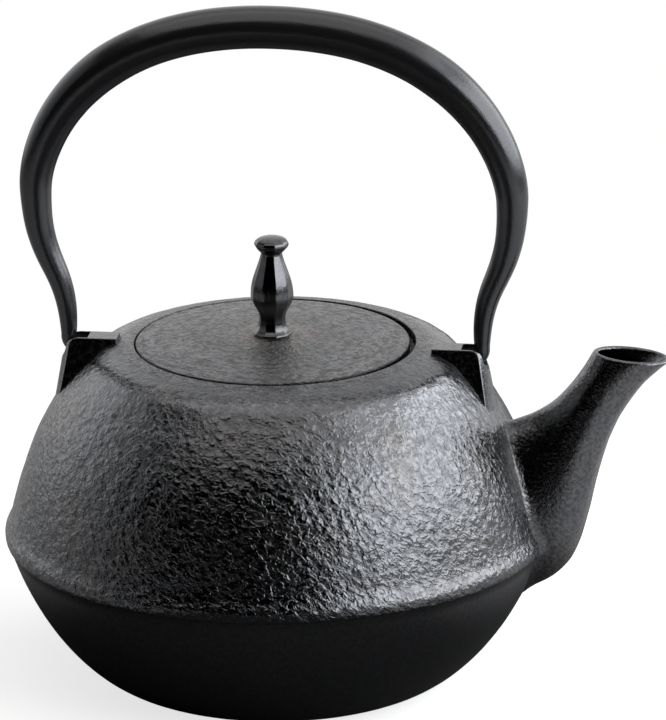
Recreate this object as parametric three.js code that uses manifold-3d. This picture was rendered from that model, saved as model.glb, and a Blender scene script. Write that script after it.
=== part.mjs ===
// A cast iron water kettle: a hollow ridged body with a curved spout and two ears, a bail handle
// whose hooked ends sit in the ears, and a drop-in lid with a loosely riveted ten-sided knob.
// Millimetres and degrees, +Z up, +X towards the spout, origin at the middle of the flat base.

import * as THREE from 'three';
import { mergeVertices } from 'three/addons/utils/BufferGeometryUtils.js';
import Module from 'manifold-3d';

// Clearances
const restGap = 0.3; // between faces that rest on each other
const pinClearance = 0.4; // round the hooks and the rivet, on the radius

// Body: a smooth bowl below the ridge, a bead above it, then a domed wall up to a sloping shoulder
const wallThickness = 3.2;
const baseRadius = 50.8;
const bowlHeight = 47.3;
const bowlRadius = 89.4;
const bowlFootSlope = 7;
const bowlFootReach = 10;
const bowlRimSlope = 71.7;
const bowlRimReach = 32.4;
const skinStep = 0.4; // the rough upper skin stands this proud of the smooth bowl
const beadOverhang = 1.25;
const beadRise = 3.4;
const wallFootInset = 1.2;
const wallFootRise = 9.7;
const wallFootSlope = 76.4;
const wallFootReach = 32.6;
const wallTopSlope = 49;
const wallTopReach = 16.3;
const shoulderInset = 27.7; // from the rim of the bowl in to the shoulder
const shoulderDrop = 5.7; // from the seat edge down to the shoulder
const bodyHeight = 115;

// Lid seat and mouth
const ringWidth = 15.05; // from the shoulder in to the edge of the seat
const ringShoulderReach = 4.2;
const ringRimSlope = 8;
const ringRimReach = 6;
const seatDepth = 3.5;
const seatThickness = 3.4;
const ledgeWidth = 5.6;

// Spout: its upper and lower lines leave the body's surface and run to the lip
const spoutWall = 2.6;
const lipWall = 1.8;
const upperRootDrop = 21.75; // below the hinge axis, clear of the ear's foot
const upperRootSlope = 22.8;
const upperRootReach = 11.3;
const upperLipSlope = 61.1;
const upperLipReach = 23.3;
const lowerRootHeight = 32;
const lowerRootSlope = 22;
const lowerRootReach = 15.9;
const bellyHeight = 61;
const bellyReach = 14.2; // from the widest radius out to the steepest point of the lower line
const bellySlope = 76.5;
const bellyLowerReach = 18;
const bellyUpperReach = 15.7;
const lowerLipSlope = 37.4;
const lowerLipReach = 25.1;
const spoutOverhang = 28; // from the widest radius out to the middle of the mouth
const mouthLength = 25.6;
const mouthDrop = 1.05; // from the seat edge down to the middle of the mouth
const mouthWidth = 17.3;
const mouthTilt = 5;
const rootWidth = 29;
const rootTaper = 0.25; // share by which the root narrows above its middle and widens below
const widthFalloff = 1.3;
const portWidth = 17;
const portHeight = 28;

// Ears
const earRise = 0.2; // of the flat top above the seat edge
const earTopWidth = 7.8;
const earSideSlope = 14.2;
const earInset = 9.1; // from the shoulder in to the inner end
const earReach = 6.3; // from the shoulder out to the outer face, at the height of the top
const earEndSlope = 10;
const earEndBulge = 2.2; // of the middle of the outer face
const earCornerRound = 2.4;
const earDepth = 26;
const pocketReach = 0.7; // from the shoulder out to the open pocket that the leg stands in
const pocketWidth = 6.4;

// Handle
const pinDepth = 4.2; // hinge axis below the top of the ears
const hookRadius = 2;
const hookBend = 3.2;
const hookEngagement = 3.4; // of the hook in its bore, inboard of the pocket
const legReach = 7.4; // from the shoulder out to the middle of the leg
const legRadius = 2.6;
const legStraight = 5; // from the hinge axis up to where the leg starts to curve
const legFootReach = 24.5;
const legTopReach = 27.6;
const handleBulge = 10.2; // how far the sides of the arch stand outside the hooks
const bulgeRise = 54.9;
const archSideReach = 15;
const archTopReach = 64.6;
const handleRise = 112.1; // hinge axis up to the middle of the grip
const gripRadius = 7.1;
const gripRise = 96.8; // the bar has its full size from this height over the hinge axis
const taperPower = 0.84;

// Lid, which lies a little off the middle of its seat
const lidClearance = 1.15;
const lidShiftX = -0.75;
const lidShiftY = -0.35;
const lidRim = 3.4;
const lidThickness = 3;
const lidCrown = 2.3; // rise of the middle over the rim
const lidEdgeRound = 0.8;
const skirtClearance = 1.7;
const skirtWall = 2.4;
const skirtDepth = 6;

// Knob, rivet and washer; rises are from the foot of the knob
const knobFacets = 10;
const knobTurn = 19.5;
const knobFootRadius = 6.6;
const knobFootEdge = 0.8;
const knobWaistRadius = 4.4;
const knobWaistRise = 5.6;
const knobBellyRadius = 7.2;
const knobBellyRise = 13.3;
const knobNeckRadius = 3.5;
const knobNeckRise = 28;
const knobCapRadius = 5.8;
const knobCapRise = 31;
const knobHeight = 33.6;
const knobFootSlope = 150;
const knobNeckSlope = 104; // of the sides that run in to the neck
const knobFlareSlope = 58; // of the cap, out of the neck
const knobCapSlope = 76;
const knobEase = 0.4; // share of each curve's rise over which it holds its slope
const rivetRadius = 2;
const rivetEngagement = 11;
const rivetHeadRadius = 4;
const rivetHeadHeight = 1.6;
const rivetHeadEdge = 1.6; // width of the hammered slope round the head
const washerRadius = 6.5;
const washerThickness = 1.2;

// Facets
const bodySides = 60;
const spoutSides = 24;
const spoutStations = 14;
const barSides = 12;
const lidSides = 48;
const smallSides = 24;

const radians = THREE.MathUtils.degToRad;
const at = (x, y) => new THREE.Vector2(x, y);

// Places that follow from the sizes above
const ridgeRadius = bowlRadius + beadOverhang;
const shoulderRadius = bowlRadius - shoulderInset;
const seatRadius = shoulderRadius - ringWidth;
const ledgeHeight = bodyHeight - seatDepth;
const ledgeUnderside = ledgeHeight - seatThickness;
const openingRadius = seatRadius - ledgeWidth;
const shoulder = at(shoulderRadius, bodyHeight - shoulderDrop);
const seatEdge = at(seatRadius, bodyHeight);
const wallFoot = at(bowlRadius - wallFootInset, bowlHeight + wallFootRise);
const hingeHeight = bodyHeight + earRise - pinDepth;
const upperRootHeight = hingeHeight - upperRootDrop;
const pocketX = shoulderRadius + pocketReach;
const hookTip = pocketX - hookEngagement;
const legX = shoulderRadius + legReach;
const lidRadius = seatRadius - lidClearance;
const lidBottom = ledgeHeight + restGap;
const lidTop = lidBottom + lidRim + lidCrown;
const washerTop = lidTopAt(washerRadius) - lidThickness - restGap;

const wasm = await Module();
wasm.setup();

// A closed three.js geometry as a solid that can be joined and cut
function toSolid(geometry) {
  const bare = geometry.clone();
  bare.deleteAttribute('normal');
  bare.deleteAttribute('uv');
  const merged = mergeVertices(bare, 1e-4);
  const mesh = new wasm.Mesh({
    numProp: 3,
    vertProperties: new Float32Array(merged.attributes.position.array),
    triVerts: new Uint32Array(merged.index.array),
  });
  return new wasm.Manifold(mesh);
}

function toGeometry(solid) {
  const mesh = solid.getMesh();
  const shared = new THREE.BufferGeometry();
  shared.setAttribute('position', new THREE.BufferAttribute(mesh.vertProperties, 3));
  shared.setIndex(new THREE.BufferAttribute(mesh.triVerts, 1));
  const faceted = shared.toNonIndexed();
  faceted.computeVertexNormals();
  return faceted;
}

// A profile of (radius, height) points turned about the Z axis
function revolve(profile, sides, turn = 0) {
  return new THREE.LatheGeometry(profile, sides, radians(turn)).rotateX(Math.PI / 2);
}

// A cylinder along Z between two heights
function post(radius, low, high) {
  const cylinder = new THREE.CylinderGeometry(radius, radius, high - low, smallSides);
  return cylinder.rotateX(Math.PI / 2).translate(0, 0, (low + high) / 2);
}

// A cylinder along X between two places, on the hinge axis when not moved
function rod(radius, from, to) {
  const cylinder = new THREE.CylinderGeometry(radius, radius, to - from, smallSides);
  return cylinder.rotateZ(Math.PI / 2).translate((from + to) / 2, 0, 0);
}

// A closed skin over rings of equal point counts, with a flat cap at each end
function loft(rings) {
  const count = rings[0].length;
  const faces = [];
  for (let ring = 0; ring < rings.length - 1; ring++) {
    for (let i = 0; i < count; i++) {
      const a = ring * count + i;
      const b = ring * count + ((i + 1) % count);
      faces.push(a, b, b + count, a, b + count, a + count);
    }
  }
  const last = (rings.length - 1) * count;
  for (let i = 1; i < count - 1; i++) {
    faces.push(0, i + 1, i, last, last + i, last + i + 1);
  }
  const geometry = new THREE.BufferGeometry().setFromPoints(rings.flat());
  geometry.setIndex(faces);
  return geometry;
}

function direction(slope) {
  return at(Math.cos(radians(slope)), Math.sin(radians(slope)));
}

// A cubic curve from its two ends, with the slope and the reach of the line at each
function slopedCurve(start, startSlope, startReach, end, endSlope, endReach) {
  const leave = start.clone().addScaledVector(direction(startSlope), startReach);
  const arrive = end.clone().addScaledVector(direction(endSlope), -endReach);
  return new THREE.CubicBezierCurve(start, leave, arrive, end);
}

// The same line moved sideways, to the right of its direction
function offsetLine(points, distance) {
  return points.map((point, i) => {
    const before = points[Math.max(i - 1, 0)];
    const after = points[Math.min(i + 1, points.length - 1)];
    const along = after.clone().sub(before).normalize();
    return at(point.x + along.y * distance, point.y - along.x * distance);
  });
}

function bowlLine() {
  const foot = at(baseRadius, 0);
  const rim = at(bowlRadius, bowlHeight);
  return slopedCurve(foot, bowlFootSlope, bowlFootReach, rim, bowlRimSlope, bowlRimReach).getPoints(9);
}

// The rounded bead above the ridge, flaring into the foot of the wall
function beadLine() {
  const start = at(bowlRadius + skinStep, bowlHeight + skinStep);
  const crest = at(ridgeRadius, bowlHeight + beadRise);
  const lower = new THREE.QuadraticBezierCurve(start, at(crest.x, start.y + skinStep), crest);
  const flare = slopedCurve(crest, 90, beadRise / 2, wallFoot, 180 - wallFootSlope, beadRise);
  return [...lower.getPoints(2), ...flare.getPoints(4).slice(1)];
}

// The domed wall, which rounds over into the ring about the lid's seat
function wallLine() {
  const wall = slopedCurve(
    wallFoot, 180 - wallFootSlope, wallFootReach,
    shoulder, 180 - wallTopSlope, wallTopReach,
  );
  const ring = slopedCurve(
    shoulder, 180 - wallTopSlope, ringShoulderReach,
    seatEdge, 180 - ringRimSlope, ringRimReach,
  );
  return [...wall.getPoints(9), ...ring.getPoints(6).slice(1)];
}

// The body's outer radius at a height
function bodyRadiusAt(height) {
  const line = [...bowlLine(), ...beadLine(), ...wallLine()];
  const next = line.findIndex((point) => point.y > height);
  const low = line[next - 1];
  const high = line[next];
  return THREE.MathUtils.mapLinear(height, low.y, high.y, low.x, high.x);
}

// Everything inside the body's outer surface, with a gap round it
function bodyEnvelope() {
  const outline = offsetLine([...bowlLine(), ...beadLine(), ...wallLine().slice(1)], restGap);
  return toSolid(revolve([at(0, outline[0].y), ...outline, at(0, outline.at(-1).y)], bodySides));
}

// The blind hole in the ear and the shoulder that the handle's hook turns in, at the spout side
function hookBore() {
  return rod(hookRadius + pinClearance, hookTip - pinClearance, legX).translate(0, 0, hingeHeight);
}

function makeBody() {
  const inside = [...offsetLine(bowlLine(), -wallThickness), ...offsetLine(wallLine(), -wallThickness)]
    .filter((point) => point.y < ledgeUnderside)
    .reverse();
  const profile = [
    at(0, 0),
    ...bowlLine(),
    ...beadLine(),
    ...wallLine().slice(1),
    at(seatRadius, ledgeHeight),
    at(openingRadius, ledgeHeight),
    at(openingRadius, ledgeUnderside),
    ...inside,
    at(0, inside.at(-1).y),
  ];
  const port = rod(1, openingRadius, ridgeRadius + spoutOverhang / 2)
    .scale(1, portWidth / 2, portHeight / 2)
    .translate(0, 0, bellyHeight);
  return toSolid(revolve(profile, bodySides))
    .subtract(toSolid(port))
    .subtract(toSolid(hookBore()))
    .subtract(toSolid(hookBore().rotateZ(Math.PI)));
}

// Rings of the spout from inside the body to the lip, drawn in by the wall for its bore
function spoutRings(bore) {
  const mouth = at(ridgeRadius + spoutOverhang, bodyHeight - mouthDrop);
  const half = direction(-mouthTilt).multiplyScalar(mouthLength / 2);
  const belly = at(ridgeRadius + bellyReach, bellyHeight);
  const upperRoot = at(bodyRadiusAt(upperRootHeight), upperRootHeight);
  const lowerRoot = at(bodyRadiusAt(lowerRootHeight), lowerRootHeight);
  const upper = slopedCurve(
    upperRoot, upperRootSlope, upperRootReach,
    mouth.clone().sub(half), upperLipSlope, upperLipReach,
  );
  const lower = new THREE.CurvePath();
  lower.add(slopedCurve(lowerRoot, lowerRootSlope, lowerRootReach, belly, bellySlope, bellyLowerReach));
  lower.add(slopedCurve(
    belly, bellySlope, bellyUpperReach,
    mouth.clone().add(half), lowerLipSlope, lowerLipReach,
  ));

  const ring = (high, low, along) => {
    const inset = bore ? THREE.MathUtils.lerp(spoutWall, lipWall, along) : 0;
    const widthShare = (1 - along) ** widthFalloff;
    const halfWidth = THREE.MathUtils.lerp(mouthWidth, rootWidth, widthShare) / 2 - inset;
    const halfDepth = high.distanceTo(low) / 2 - inset;
    const middle = high.clone().lerp(low, 0.5);
    const down = low.clone().sub(high).normalize();
    return Array.from({ length: spoutSides }, (_, i) => {
      const angle = (2 * Math.PI * i) / spoutSides;
      const place = middle.clone().addScaledVector(down, halfDepth * Math.cos(angle));
      const spread = 1 + rootTaper * (1 - along) * Math.cos(angle);
      return new THREE.Vector3(place.x, halfWidth * spread * Math.sin(angle), place.y);
    });
  };
  const rings = Array.from({ length: spoutStations + 1 }, (_, i) => {
    const along = i / spoutStations;
    return ring(upper.getPointAt(along), lower.getPointAt(along), along);
  });
  const inward = at(-2 * wallThickness, 0);
  rings.unshift(ring(upperRoot.clone().add(inward), lowerRoot.clone().add(inward), 0));
  if (bore) {
    const outward = direction(90 - mouthTilt).multiplyScalar(lipWall);
    rings.push(ring(mouth.clone().sub(half).add(outward), mouth.clone().add(half).add(outward), 1));
  }
  return rings;
}

function makeSpout() {
  return toSolid(loft(spoutRings(false)))
    .subtract(toSolid(loft(spoutRings(true))))
    .subtract(bodyEnvelope());
}

// The ear's plan at a depth below its flat top, into which its bulged outer end rounds over
function earOutline(depth) {
  const rounding = Math.max(earCornerRound - depth, 0);
  const drawnIn = earCornerRound - Math.sqrt(earCornerRound ** 2 - rounding ** 2);
  const innerX = shoulderRadius - earInset;
  const outerX = shoulderRadius + earReach + depth * Math.tan(radians(earEndSlope)) - drawnIn;
  const half = earTopWidth / 2 + depth * Math.tan(radians(earSideSlope));
  const end = new THREE.QuadraticBezierCurve(
    at(outerX, -half), at(outerX + 2 * earEndBulge, 0), at(outerX, half),
  );
  const plan = [at(innerX, -half), ...end.getPoints(8), at(innerX, half)];
  return plan.map((point) => new THREE.Vector3(point.x, point.y, bodyHeight + earRise - depth));
}

// The ear at the spout side: a wedge with an open pocket, in which the handle's leg stands
function makeEar() {
  const cornerDepths = [90, 67.5, 45, 22.5, 0].map((turn) => earCornerRound * (1 - direction(turn).x));
  const wedge = loft([earDepth, ...cornerDepths].map(earOutline));

  const half = pocketWidth / 2;
  const pocket = new THREE.Shape();
  pocket.moveTo(-half, earDepth);
  pocket.lineTo(-half, 0);
  pocket.absarc(0, 0, half, Math.PI, 2 * Math.PI);
  pocket.lineTo(half, earDepth);
  const pocketCut = new THREE.ExtrudeGeometry(pocket, { depth: earDepth, bevelEnabled: false })
    .rotateX(Math.PI / 2)
    .rotateZ(Math.PI / 2)
    .translate(pocketX, 0, hingeHeight);

  return toSolid(wedge)
    .subtract(toSolid(pocketCut))
    .subtract(bodyEnvelope())
    .subtract(toSolid(hookBore()));
}

// Half of the handle's centre line about its hinge axis, from the hook's tip to the top of the arch
function handleStations() {
  const side = at(legX + handleBulge, bulgeRise);
  const hook = new THREE.LineCurve(at(hookTip, 0), at(legX - hookBend, 0));
  const bend = new THREE.QuadraticBezierCurve(at(legX - hookBend, 0), at(legX, 0), at(legX, hookBend));
  const leg = slopedCurve(at(legX, legStraight), 90, legFootReach, side, 90, legTopReach);
  const arch = slopedCurve(side, 90, archSideReach, at(0, handleRise), 180, archTopReach);
  const barRadius = (height) => {
    const share = THREE.MathUtils.clamp((height - legStraight) / (gripRise - legStraight), 0, 1);
    return THREE.MathUtils.lerp(legRadius, gripRadius, share ** taperPower);
  };
  const hookRadiusAt = (height) => THREE.MathUtils.lerp(hookRadius, legRadius, height / hookBend);
  const stations = (curve, steps, radiusAt) => curve.getPoints(steps).map((point, i) => ({
    point,
    along: curve.getTangent(i / steps),
    radius: radiusAt(point.y),
  }));
  return [
    ...stations(hook, 1, hookRadiusAt),
    ...stations(bend, 5, hookRadiusAt).slice(1),
    ...stations(leg, 12, barRadius),
    ...stations(arch, 14, barRadius).slice(1),
  ];
}

function makeHandle() {
  const half = handleStations();
  const mirrored = half.slice(0, -1).reverse().map(({ point, along, radius }) => ({
    point: at(-point.x, point.y),
    along: at(along.x, -along.y),
    radius,
  }));
  const rings = [...half, ...mirrored].map(({ point, along, radius }) => {
    return Array.from({ length: barSides }, (_, i) => {
      const angle = (2 * Math.PI * i) / barSides;
      const sideways = radius * Math.cos(angle);
      const place = at(point.x + along.y * sideways, point.y - along.x * sideways);
      return new THREE.Vector3(place.x, radius * Math.sin(angle), place.y);
    });
  });
  return toSolid(loft(rings));
}

// Height of the lid's top at a radius
function lidTopAt(radius) {
  return lidTop - lidCrown * (radius / lidRadius) ** 2;
}

function makeLid() {
  const skirtRadius = openingRadius - skirtClearance;
  const skirtInside = skirtRadius - skirtWall;
  const steps = 4;
  const shares = Array.from({ length: steps + 1 }, (_, i) => i / steps);
  const under = (radius) => at(radius, lidTopAt(radius) - lidThickness);
  const underside = shares.map((share) => under(share * skirtInside));
  const edge = lidRadius - lidEdgeRound;
  const crown = shares.map((share) => at(share * edge, lidTopAt(share * edge))).reverse();
  const profile = [
    ...underside,
    at(skirtInside, lidBottom - skirtDepth),
    at(skirtRadius, lidBottom - skirtDepth),
    at(skirtRadius, lidBottom),
    at(lidRadius, lidBottom),
    at(lidRadius, lidTopAt(lidRadius) - lidEdgeRound),
    ...crown,
  ];
  const hole = post(rivetRadius + pinClearance, lidBottom, lidTop + lidRim);
  return toSolid(revolve(profile, lidSides)).subtract(toSolid(hole));
}

// The knob with its foot at height zero
function makeKnob() {
  const foot = at(knobFootRadius, knobFootEdge);
  const waist = at(knobWaistRadius, knobWaistRise);
  const belly = at(knobBellyRadius, knobBellyRise);
  const neck = at(knobNeckRadius, knobNeckRise);
  const cap = at(knobCapRadius, knobCapRise);
  const top = at(0, knobHeight);
  const between = (a, aSlope, b, bSlope) => {
    const reach = (b.y - a.y) * knobEase;
    return slopedCurve(a, aSlope, reach, b, bSlope, reach);
  };
  const lines = [
    between(foot, knobFootSlope, waist, 90).getPoints(4),
    between(waist, 90, belly, 90).getPoints(5),
    between(belly, 90, neck, knobNeckSlope).getPoints(6),
    between(neck, knobFlareSlope, cap, knobCapSlope).getPoints(4),
    new THREE.QuadraticBezierCurve(cap, at(cap.x, top.y), top).getPoints(4),
  ];
  const curves = lines.flatMap((line, i) => (i ? line.slice(1) : line));
  const profile = [at(0, 0), at(knobFootRadius, 0), ...curves];
  const bore = post(rivetRadius + restGap, -knobFootEdge, rivetEngagement + restGap);
  return toSolid(revolve(profile, knobFacets, knobTurn)).subtract(toSolid(bore));
}

// The rivet, with its shank up in the knob and its head hammered over under the washer
function makeRivet() {
  const headTop = washerTop - washerThickness - restGap;
  const shankTop = lidTop + restGap + rivetEngagement;
  const profile = [
    at(0, headTop - rivetHeadHeight),
    at(rivetHeadRadius - rivetHeadEdge, headTop - rivetHeadHeight),
    at(rivetHeadRadius, headTop - rivetHeadHeight / 2),
    at(rivetHeadRadius, headTop),
    at(rivetRadius, headTop),
    at(rivetRadius, shankTop),
    at(0, shankTop),
  ];
  return toSolid(revolve(profile, smallSides));
}

function makeWasher() {
  const bottom = washerTop - washerThickness;
  const hole = post(rivetRadius + pinClearance, bottom - washerThickness, washerTop + washerThickness);
  return toSolid(post(washerRadius, bottom, washerTop)).subtract(toSolid(hole));
}

const roughIron = { color: 0x26272a, roughness: 0.55, metalness: 0.6 };
const satinIron = { color: 0x1d1e20, roughness: 0.4, metalness: 0.6 };
const steel = { color: 0x55565a, roughness: 0.45, metalness: 0.9 };

function named(name, solid, finish) {
  const mesh = new THREE.Mesh(toGeometry(solid), new THREE.MeshStandardMaterial(finish));
  mesh.name = name;
  return mesh;
}

const kettle = new THREE.Group();
kettle.add(
  named('kettle_body', makeBody(), roughIron),
  named('spout', makeSpout(), roughIron),
);

const ear = makeEar();
const rightEar = named('right_ear', ear, roughIron);
const leftEar = named('left_ear', ear, roughIron);
leftEar.rotation.z = Math.PI;
kettle.add(rightEar, leftEar);

const handle = named('handle', makeHandle(), satinIron);
handle.position.z = hingeHeight;
kettle.add(handle);

const knob = named('knob', makeKnob(), satinIron);
knob.position.z = lidTop + restGap;
const lid = new THREE.Group();
lid.position.set(lidShiftX, lidShiftY, 0);
lid.add(
  named('lid', makeLid(), roughIron),
  knob,
  named('knob_rivet', makeRivet(), steel),
  named('knob_washer', makeWasher(), steel),
);
kettle.add(lid);

export default kettle;
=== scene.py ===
import bpy
import bmesh
import math
import numpy as np
from mathutils import Matrix, Vector, noise


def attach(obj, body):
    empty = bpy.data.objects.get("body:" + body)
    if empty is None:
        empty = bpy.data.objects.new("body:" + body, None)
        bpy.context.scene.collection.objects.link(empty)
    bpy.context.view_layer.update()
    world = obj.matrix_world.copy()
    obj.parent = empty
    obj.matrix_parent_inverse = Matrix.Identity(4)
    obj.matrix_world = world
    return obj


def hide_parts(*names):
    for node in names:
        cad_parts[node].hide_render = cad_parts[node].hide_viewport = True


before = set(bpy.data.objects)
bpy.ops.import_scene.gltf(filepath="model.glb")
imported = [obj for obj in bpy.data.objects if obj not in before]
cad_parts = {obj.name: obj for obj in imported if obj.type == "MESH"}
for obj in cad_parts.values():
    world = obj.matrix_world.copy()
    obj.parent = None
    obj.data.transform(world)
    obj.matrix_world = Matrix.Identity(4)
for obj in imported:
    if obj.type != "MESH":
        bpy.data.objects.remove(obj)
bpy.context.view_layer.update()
mm = 0.001
print("frame loaded")


# Lines

def bezier(start, leave, arrive, end, steps):
    t = np.linspace(0, 1, steps + 1)[:, None]
    start, leave, arrive, end = (np.array(point, float) for point in (start, leave, arrive, end))
    return (1 - t) ** 3 * start + 3 * (1 - t) ** 2 * t * leave + 3 * (1 - t) * t ** 2 * arrive + t ** 3 * end


def direction(slope):
    return np.array([math.cos(math.radians(slope)), math.sin(math.radians(slope))])


def slopedCurve(start, startSlope, startReach, end, endSlope, endReach, steps):
    start, end = np.array(start, float), np.array(end, float)
    return bezier(start, start + direction(startSlope) * startReach,
                  end - direction(endSlope) * endReach, end, steps)


def bentCurve(start, corner, end, steps):
    t = np.linspace(0, 1, steps + 1)[:, None]
    start, corner, end = (np.array(point, float) for point in (start, corner, end))
    return (1 - t) ** 2 * start + 2 * (1 - t) * t * corner + t ** 2 * end


def straight(start, end, steps):
    t = np.linspace(0, 1, steps + 1)[:, None]
    return (1 - t) * np.array(start, float) + t * np.array(end, float)


def joinLines(*lines):
    # One line from several that meet end to end
    points = [lines[0]]
    for line in lines[1:]:
        points.append(line[1:] if np.allclose(line[0], points[-1][-1], atol=1e-6) else line)
    return np.vstack(points)


def offsetLine(points, distance):
    # The same line moved to the right of its direction
    along = np.gradient(points, axis=0)
    along /= np.linalg.norm(along, axis=1)[:, None]
    return points + np.column_stack([along[:, 1], -along[:, 0]]) * distance


def roundedCorner(before, corner, after, radius, steps):
    before, corner, after = (np.array(point, float) for point in (before, corner, after))
    leave, arrive = before - corner, after - corner
    return bentCurve(corner + leave / np.linalg.norm(leave) * radius, corner,
                     corner + arrive / np.linalg.norm(arrive) * radius, steps)


def roundedPath(corners, radii, steps=4):
    # A path through corners, each rounded by its radius
    points = []
    for i, corner in enumerate(corners):
        if radii[i] <= 0 or i in (0, len(corners) - 1):
            points.append(np.array(corner, float)[None])
        else:
            points.append(roundedCorner(corners[i - 1], corner, corners[i + 1], radii[i], steps))
    return np.vstack(points)


def circleLine(centre, radii, count):
    angles = np.arange(count) * 2 * math.pi / count
    return np.column_stack([centre[0] + np.cos(angles) * radii[0], centre[1] + np.sin(angles) * radii[1]])


def castNoise(x, y, z, size):
    # Smooth noise for an uneven casting, its bumps about size mm apart
    values = np.empty(x.size)
    for i, (px, py, pz) in enumerate(zip(x.ravel() / size, y.ravel() / size, z.ravel() / size)):
        values[i] = noise.noise((px, py, pz))
    return values.reshape(x.shape)


# Meshes

def newObject(name, vertices, faces, materials):
    mesh = bpy.data.meshes.new(name)
    mesh.from_pydata([tuple(v) for v in vertices], [], faces)
    mesh.validate()
    mesh.polygons.foreach_set("use_smooth", [True] * len(mesh.polygons))
    for material in materials:
        mesh.materials.append(material)
    piece = bpy.data.objects.new(name, mesh)
    bpy.context.scene.collection.objects.link(piece)
    return piece


def outwards(piece):
    edit = bmesh.new()
    edit.from_mesh(piece.data)
    bmesh.ops.recalc_face_normals(edit, faces=edit.faces)
    edit.to_mesh(piece.data)
    edit.free()


def ringFaces(rings, sides, closed=False):
    # Faces between rings of points, and from the last ring to the first if closed
    faces = []
    for ring in range(rings if closed else rings - 1):
        a, b = ring * sides, (ring + 1) % rings * sides
        faces += [(a + i, a + (i + 1) % sides, b + (i + 1) % sides, b + i) for i in range(sides)]
    return faces


def turned(name, profile, sides, materials, shape=None, shift=(0, 0), zone=None):
    # A profile of (radius, height) in mm turned about Z, which ends in two poles or closes on itself
    closed = profile[0][0] > 0
    rings = profile if closed else profile[1:-1]
    count = len(rings)
    angles = np.arange(sides) * 2 * math.pi / sides
    radius = rings[:, 0][:, None] * np.ones(sides)
    height = rings[:, 1][:, None] * np.ones(sides)
    if shape:
        radius, height = shape(radius, height, np.broadcast_to(angles, radius.shape))
    x = radius * np.sin(angles) + shift[0]
    y = -radius * np.cos(angles) + shift[1]
    vertices = np.stack([x, y, height], axis=-1).reshape(-1, 3)
    faces = ringFaces(count, sides, closed)
    if not closed:
        vertices = np.vstack([vertices, (*shift, profile[0][1]), (*shift, profile[-1][1])])
        first, last, end = count * sides, count * sides + 1, (count - 1) * sides
        for i in range(sides):
            j = (i + 1) % sides
            faces += [(first, j, i), (last, end + i, end + j)]
    piece = newObject(name, vertices * mm, faces, materials)
    if zone:
        slots = [zone(ring) for ring in range(count - 1) for _ in range(sides)]
        slots += [zone(0), zone(count - 2)] * sides
        piece.data.polygons.foreach_set("material_index", slots)
    return piece


def prism(name, outline, axis, start, end, materials):
    # An outline in mm, given in the two other axes, drawn out along one axis
    count = len(outline)
    flat = np.insert(np.array(outline, float), axis, 0, axis=1)
    along = np.zeros(3)
    along[axis] = 1
    faces = ringFaces(2, count) + [tuple(range(count))[::-1], tuple(range(count, 2 * count))]
    piece = newObject(name, np.vstack([flat + along * start, flat + along * end]) * mm, faces, materials)
    outwards(piece)
    return piece


def freeze(piece):
    # The piece's modifiers become its mesh
    bpy.context.view_layer.update()
    evaluated = piece.evaluated_get(bpy.context.evaluated_depsgraph_get())
    mesh = bpy.data.meshes.new_from_object(evaluated)
    piece.modifiers.clear()
    piece.data = mesh


def cutWith(piece, cutter):
    cut = piece.modifiers.new("cut", "BOOLEAN")
    cut.operation = "DIFFERENCE"
    cut.solver = "EXACT"
    cut.object = cutter
    freeze(piece)
    bpy.data.objects.remove(cutter)


def finishPiece(piece, carrier, node):
    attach(piece, carrier)
    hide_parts(node)


# Node tools

def put(tree, target, value):
    # A socket is linked, anything else is set
    if isinstance(value, bpy.types.NodeSocket):
        tree.links.new(value, target)
    else:
        target.default_value = value


def addNode(tree, kind, values, **settings):
    # A node with its settings, and with values for its inputs by name or number
    node = tree.nodes.new(kind)
    for name, setting in settings.items():
        setattr(node, name, setting)
    for socket, value in values.items():
        put(tree, node.inputs[socket], value)
    return node


def calc(tree, operation, a, b=0.0, c=0.0, clamp=False):
    node = addNode(tree, "ShaderNodeMath", {0: a, 1: b, 2: c}, operation=operation, use_clamp=clamp)
    return node.outputs[0]


def vectorCalc(tree, operation, vector, output="Vector"):
    return addNode(tree, "ShaderNodeVectorMath", {0: vector}, operation=operation).outputs[output]


def separate(tree, vector):
    return addNode(tree, "ShaderNodeSeparateXYZ", {0: vector}).outputs


def combine(tree, x=0.0, y=0.0, z=0.0):
    return addNode(tree, "ShaderNodeCombineXYZ", {0: x, 1: y, 2: z}).outputs[0]


def span(tree, value, low, high, start=0.0, end=1.0):
    # A soft step from start to end while the value goes from low to high
    values = {"Value": value, "From Min": low, "From Max": high, "To Min": start, "To Max": end}
    return addNode(tree, "ShaderNodeMapRange", values, interpolation_type="SMOOTHSTEP").outputs["Result"]


def blendColour(tree, share, first, second):
    return addNode(tree, "ShaderNodeMix", {0: share, 6: first, 7: second}, data_type="RGBA").outputs[2]


def blendValue(tree, share, first, second):
    return addNode(tree, "ShaderNodeMix", {0: share, 2: first, 3: second}, data_type="FLOAT").outputs[0]


def blendShader(tree, share, first, second):
    return addNode(tree, "ShaderNodeMixShader", {0: share, 1: first, 2: second}).outputs[0]


def noiseTexture(tree, place, scale, detail=2.0, roughness=0.5, distortion=0.0):
    values = {"Vector": place, "Scale": scale, "Detail": detail, "Roughness": roughness,
              "Distortion": distortion}
    return addNode(tree, "ShaderNodeTexNoise", values).outputs["Fac"]


def objectPlace(tree, centre=(0, 0, 0)):
    # Object coordinates in millimetres about a centre
    place = tree.nodes.new("ShaderNodeTexCoord").outputs["Object"]
    values = {"Vector": place, "Scale": (1 / mm, 1 / mm, 1 / mm), "Location": [-value for value in centre]}
    return addNode(tree, "ShaderNodeMapping", values).outputs["Vector"]


def useGroup(tree, group, **values):
    return addNode(tree, "ShaderNodeGroup", values, node_tree=group).outputs


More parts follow.
